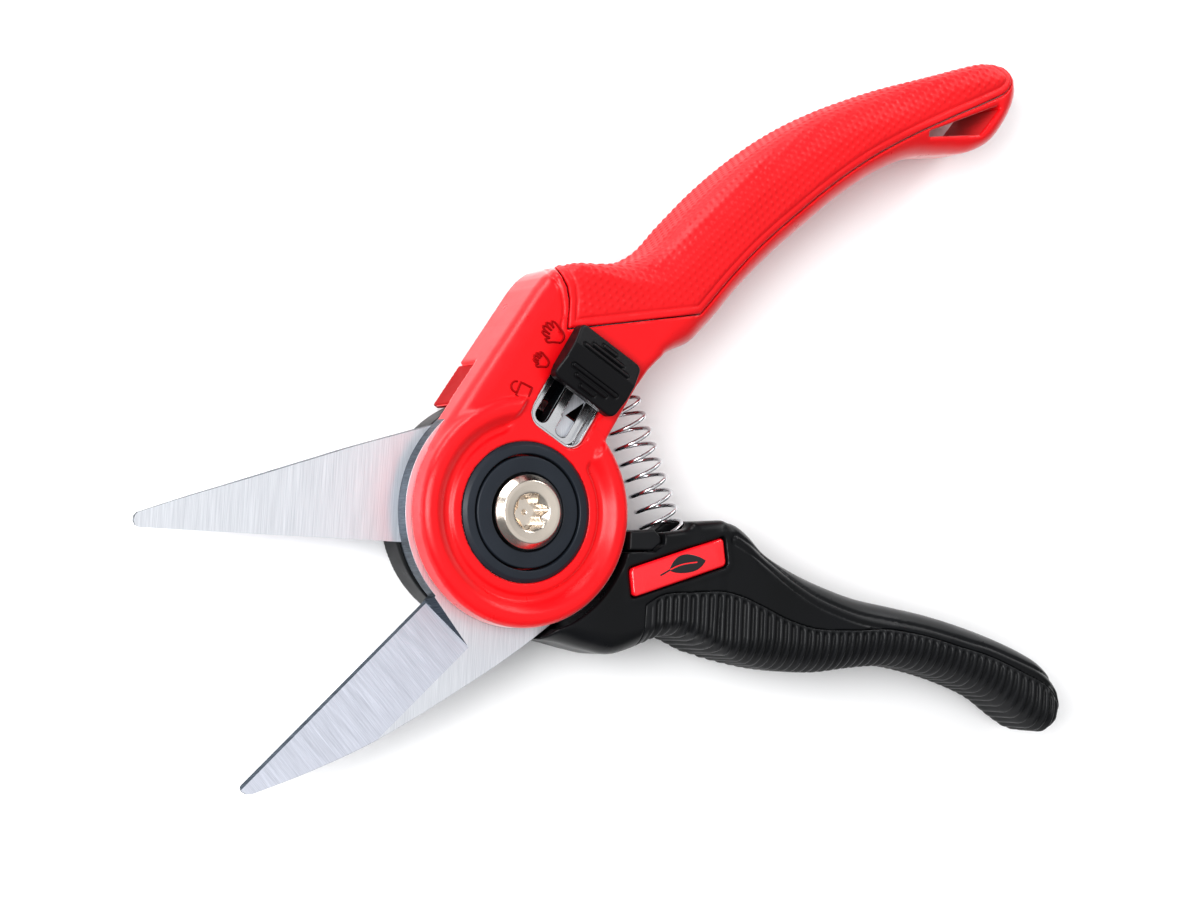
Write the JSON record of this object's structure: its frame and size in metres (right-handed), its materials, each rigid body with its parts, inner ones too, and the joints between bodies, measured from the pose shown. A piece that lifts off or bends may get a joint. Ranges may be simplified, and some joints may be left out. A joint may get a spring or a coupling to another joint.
{
  "type": "pruning shears",
  "caption": "Straight-blade hand pruning shears held open by a coil spring, with a red and a black moulded handle, a bolted pivot and a sliding lock button.",
  "frame": {"origin": "on the pivot's axis, in the plane of the rear faces that the shears lie on", "axes": "+Z out of the front face along the pivot bolt; +X from the pivot towards the handles' ends, so the blades point to -X; +Y towards the red handle. The shears are at rest fully open, the red half turned +21 degrees and the black half -24 degrees from closed"},
  "size_m": [0.1965, 0.1268, 0.022],
  "materials": {
    "nickel": "satin nickel plate",
    "steel": "bright steel",
    "spring_steel": "polished wire",
    "blade_steel": "ground and brushed steel",
    "dark_steel": "dark blued, half matt",
    "red_plastic": "moulded, half gloss",
    "red_rubber": "soft, small raised dots",
    "black_plastic": "moulded, fine grain",
    "black_rubber": "soft, ribbed",
    "button_plastic": "matt",
    "badge_red": "glossy",
    "washer_plastic": "low-friction plastic"
  },
  "bodies": {
    "red_side": {"red_handle": "red_plastic", "red_grip": "red_rubber", "front_blade": "blade_steel", "front_ring": "dark_steel", "front_washer": "dark_steel", "pivot_bolt": "nickel", "pivot_nut": "nickel", "pivot_bush": "steel", "blade_washer": "washer_plastic", "rear_washer": "dark_steel", "lock_plate": "steel", "red_tang_pins": "steel", "red_spring_seat": "button_plastic", "return_spring": "spring_steel"},
    "black_side": {"black_handle": "black_plastic", "black_grip": "black_rubber", "rear_blade": "blade_steel", "black_tang_pins": "steel", "black_spring_seat": "button_plastic", "badge": "badge_red", "stop_pad": "black_rubber"},
    "lock": {"lock_button": "button_plastic", "lock_slider": "button_plastic", "lock_pin": "steel", "lock_leaf": "steel"}
  },
  "joints": [
    {"name": "blade_pivot", "type": "hinge", "parent": "red_side", "child": "black_side", "pos_m": [0, 0, 0], "axis": [0, 0, 1], "range_deg": [0, 41], "stiffness_Nm_per_rad": 0.42, "springref_deg": -20.63, "deforming": ["return_spring"]},
    {"name": "lock_slide", "type": "slide", "parent": "red_side", "child": "lock", "axis": [-0.809, -0.5878, 0], "range_m": [0, 0.0114]}
  ]
}
